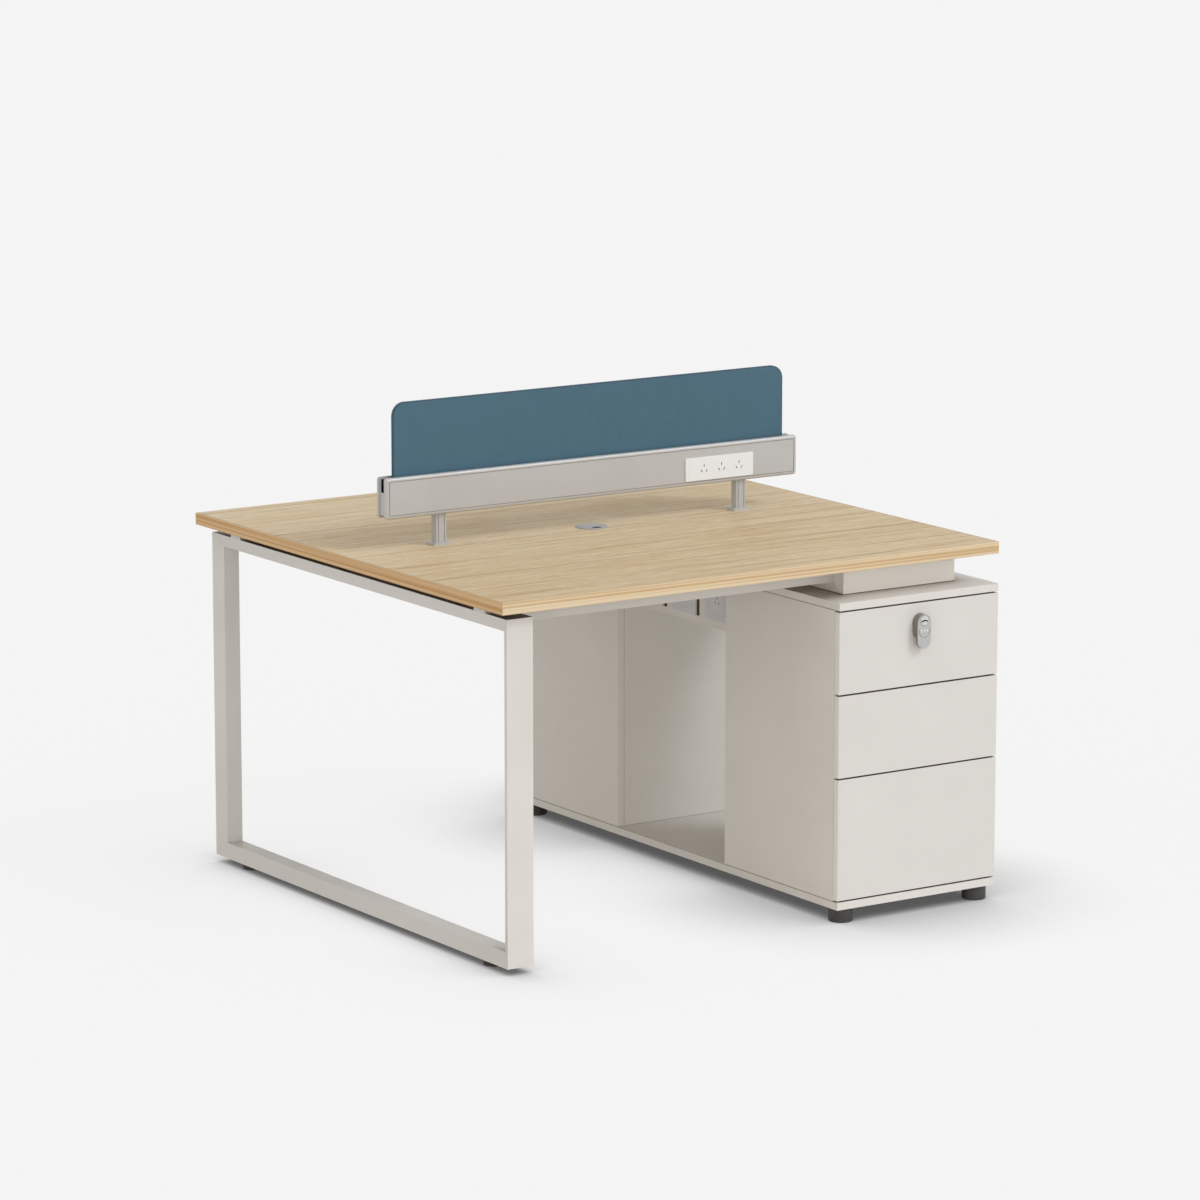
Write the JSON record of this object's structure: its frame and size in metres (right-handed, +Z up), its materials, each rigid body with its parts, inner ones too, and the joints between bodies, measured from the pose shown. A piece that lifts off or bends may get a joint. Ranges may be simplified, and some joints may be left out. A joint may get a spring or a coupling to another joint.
{
  "type": "office workstation",
  "caption": "Face-to-face office desk on a loop leg and a drawer cabinet, with oak desktop, screen divider, power modules, cable grommet, and top drawers with dial locks.",
  "frame": {"origin": "on the floor, under the middle of the desktop", "axes": "+X towards the drawer cabinet, +Y from the near seat to the far seat, +Z up"},
  "size_m": [1.2, 1.2356, 1.05],
  "materials": {
    "oak_board": "light oak laminate, matt, grain along X",
    "oak_edge": "light oak edge band, satin",
    "grey_plastic": "light grey moulded plastic",
    "white_steel": "warm white powder coat",
    "black_plastic": "black moulded plastic",
    "zinc_steel": "bright zinc plate",
    "silver_aluminium": "satin silver coat",
    "blue_panel": "petrol blue fine matt cloth on a stiff board",
    "black_rubber": "black rubber strip",
    "white_plastic": "white moulded plastic",
    "white_board": "warm white melamine board, matt",
    "front_board": "warm white melamine board, matt",
    "box_board": "light grey board",
    "plate_plastic": "light grey moulded plastic",
    "lock_metal": "satin silver lacquer on cast zinc",
    "dial_plastic": "grey plastic"
  },
  "bodies": {
    "workstation": {"desktop_board": "oak_board", "desktop_edge_bands": "oak_edge", "grommet_ring": "grey_plastic", "leg_near_post": "white_steel", "leg_far_post": "white_steel", "leg_top_rail": "white_steel", "leg_bottom_rail": "white_steel", "desk_beams": "white_steel", "beam_brackets": "white_steel", "frame_screws": "zinc_steel", "divider_core": "silver_aluminium", "divider_near_cover": "silver_aluminium", "divider_end_plugs": "silver_aluminium", "divider_far_cover": "silver_aluminium", "divider_screen": "blue_panel", "screen_gaskets": "black_rubber", "divider_posts": "silver_aluminium", "divider_post_bases": "silver_aluminium", "divider_bolts": "zinc_steel", "power_modules": "white_plastic", "cabinet_base_board": "white_board", "cabinet_top_board": "white_board", "pedestal_sides": "white_board", "pedestal_backs": "white_board", "cabinet_riser": "white_board", "cabinet_feet": "black_plastic", "wiring_panel": "white_board", "wiring_plates": "plate_plastic", "drawer_slide_rails": "zinc_steel"},
    "grommet_cap": {"grommet_cap": "grey_plastic"},
    "near_glide": {"leg_near_glide": "black_plastic"},
    "far_glide": {"leg_far_glide": "black_plastic"},
    "near_bottom_drawer": {"near_bottom_drawer_front": "front_board", "near_bottom_drawer_box": "box_board"},
    "near_bottom_carriages": {"near_bottom_slide_carriages": "zinc_steel"},
    "near_middle_drawer": {"near_middle_drawer_front": "front_board", "near_middle_drawer_box": "box_board"},
    "near_middle_carriages": {"near_middle_slide_carriages": "zinc_steel"},
    "near_top_drawer": {"near_top_drawer_front": "front_board", "near_top_drawer_box": "box_board", "near_lock_case": "lock_metal"},
    "near_top_carriages": {"near_top_slide_carriages": "zinc_steel"},
    "near_lock_knob": {"near_lock_knob": "lock_metal"},
    "near_lock_dial_1": {"near_lock_dial_1": "dial_plastic"},
    "near_lock_dial_2": {"near_lock_dial_2": "dial_plastic"},
    "near_lock_dial_3": {"near_lock_dial_3": "dial_plastic"},
    "far_bottom_drawer": {"far_bottom_drawer_front": "front_board", "far_bottom_drawer_box": "box_board"},
    "far_bottom_carriages": {"far_bottom_slide_carriages": "zinc_steel"},
    "far_middle_drawer": {"far_middle_drawer_front": "front_board", "far_middle_drawer_box": "box_board"},
    "far_middle_carriages": {"far_middle_slide_carriages": "zinc_steel"},
    "far_top_drawer": {"far_top_drawer_front": "front_board", "far_top_drawer_box": "box_board", "far_lock_case": "lock_metal"},
    "far_top_carriages": {"far_top_slide_carriages": "zinc_steel"},
    "far_lock_knob": {"far_lock_knob": "lock_metal"},
    "far_lock_dial_1": {"far_lock_dial_1": "dial_plastic"},
    "far_lock_dial_2": {"far_lock_dial_2": "dial_plastic"},
    "far_lock_dial_3": {"far_lock_dial_3": "dial_plastic"}
  },
  "joints": [
    {"name": "grommet_cap_turn", "type": "hinge", "parent": "workstation", "child": "grommet_cap", "pos_m": [0, 0, 0.7505], "axis": [0, 0, 1], "continuous": true},
    {"name": "near_glide_turn", "type": "hinge", "parent": "workstation", "child": "near_glide", "pos_m": [-0.545, -0.475, 0.015], "axis": [0, 0, 1], "continuous": true},
    {"name": "far_glide_turn", "type": "hinge", "parent": "workstation", "child": "far_glide", "pos_m": [-0.545, 0.475, 0.015], "axis": [0, 0, 1], "continuous": true},
    {"name": "near_bottom_drawer_slide", "type": "slide", "parent": "workstation", "child": "near_bottom_drawer", "axis": [0, -1, 0], "range_m": [0, 0.33]},
    {"name": "near_bottom_carriage_slide", "type": "slide", "parent": "workstation", "child": "near_bottom_carriages", "axis": [0, -1, 0], "range_m": [0, 0.165]},
    {"name": "near_middle_drawer_slide", "type": "slide", "parent": "workstation", "child": "near_middle_drawer", "axis": [0, -1, 0], "range_m": [0, 0.33]},
    {"name": "near_middle_carriage_slide", "type": "slide", "parent": "workstation", "child": "near_middle_carriages", "axis": [0, -1, 0], "range_m": [0, 0.165]},
    {"name": "near_top_drawer_slide", "type": "slide", "parent": "workstation", "child": "near_top_drawer", "axis": [0, -1, 0], "range_m": [0, 0.33]},
    {"name": "near_top_carriage_slide", "type": "slide", "parent": "workstation", "child": "near_top_carriages", "axis": [0, -1, 0], "range_m": [0, 0.165]},
    {"name": "near_lock_knob_turn", "type": "hinge", "parent": "near_top_drawer", "child": "near_lock_knob", "pos_m": [0.4, -0.6, 0.61], "axis": [0, -1, 0], "range_deg": [0, 90]},
    {"name": "near_lock_dial_1_turn", "type": "hinge", "parent": "near_top_drawer", "child": "near_lock_dial_1", "pos_m": [0.3925, -0.6108, 0.588], "axis": [1, 0, 0], "continuous": true},
    {"name": "near_lock_dial_2_turn", "type": "hinge", "parent": "near_top_drawer", "child": "near_lock_dial_2", "pos_m": [0.4, -0.6108, 0.588], "axis": [1, 0, 0], "continuous": true},
    {"name": "near_lock_dial_3_turn", "type": "hinge", "parent": "near_top_drawer", "child": "near_lock_dial_3", "pos_m": [0.4075, -0.6108, 0.588], "axis": [1, 0, 0], "continuous": true},
    {"name": "far_bottom_drawer_slide", "type": "slide", "parent": "workstation", "child": "far_bottom_drawer", "axis": [0, 1, 0], "range_m": [0, 0.33]},
    {"name": "far_bottom_carriage_slide", "type": "slide", "parent": "workstation", "child": "far_bottom_carriages", "axis": [0, 1, 0], "range_m": [0, 0.165]},
    {"name": "far_middle_drawer_slide", "type": "slide", "parent": "workstation", "child": "far_middle_drawer", "axis": [0, 1, 0], "range_m": [0, 0.33]},
    {"name": "far_middle_carriage_slide", "type": "slide", "parent": "workstation", "child": "far_middle_carriages", "axis": [0, 1, 0], "range_m": [0, 0.165]},
    {"name": "far_top_drawer_slide", "type": "slide", "parent": "workstation", "child": "far_top_drawer", "axis": [0, 1, 0], "range_m": [0, 0.33]},
    {"name": "far_top_carriage_slide", "type": "slide", "parent": "workstation", "child": "far_top_carriages", "axis": [0, 1, 0], "range_m": [0, 0.165]},
    {"name": "far_lock_knob_turn", "type": "hinge", "parent": "far_top_drawer", "child": "far_lock_knob", "pos_m": [0.4, 0.6, 0.61], "axis": [0, 1, 0], "range_deg": [0, 90]},
    {"name": "far_lock_dial_1_turn", "type": "hinge", "parent": "far_top_drawer", "child": "far_lock_dial_1", "pos_m": [0.4075, 0.6108, 0.588], "axis": [1, 0, 0], "continuous": true},
    {"name": "far_lock_dial_2_turn", "type": "hinge", "parent": "far_top_drawer", "child": "far_lock_dial_2", "pos_m": [0.4, 0.6108, 0.588], "axis": [1, 0, 0], "continuous": true},
    {"name": "far_lock_dial_3_turn", "type": "hinge", "parent": "far_top_drawer", "child": "far_lock_dial_3", "pos_m": [0.3925, 0.6108, 0.588], "axis": [1, 0, 0], "continuous": true}
  ],
  "couplings": [
    {"joint": "near_bottom_carriage_slide", "follows": "near_bottom_drawer_slide", "ratio": 0.5},
    {"joint": "near_middle_carriage_slide", "follows": "near_middle_drawer_slide", "ratio": 0.5},
    {"joint": "near_top_carriage_slide", "follows": "near_top_drawer_slide", "ratio": 0.5},
    {"joint": "far_bottom_carriage_slide", "follows": "far_bottom_drawer_slide", "ratio": 0.5},
    {"joint": "far_middle_carriage_slide", "follows": "far_middle_drawer_slide", "ratio": 0.5},
    {"joint": "far_top_carriage_slide", "follows": "far_top_drawer_slide", "ratio": 0.5}
  ]
}
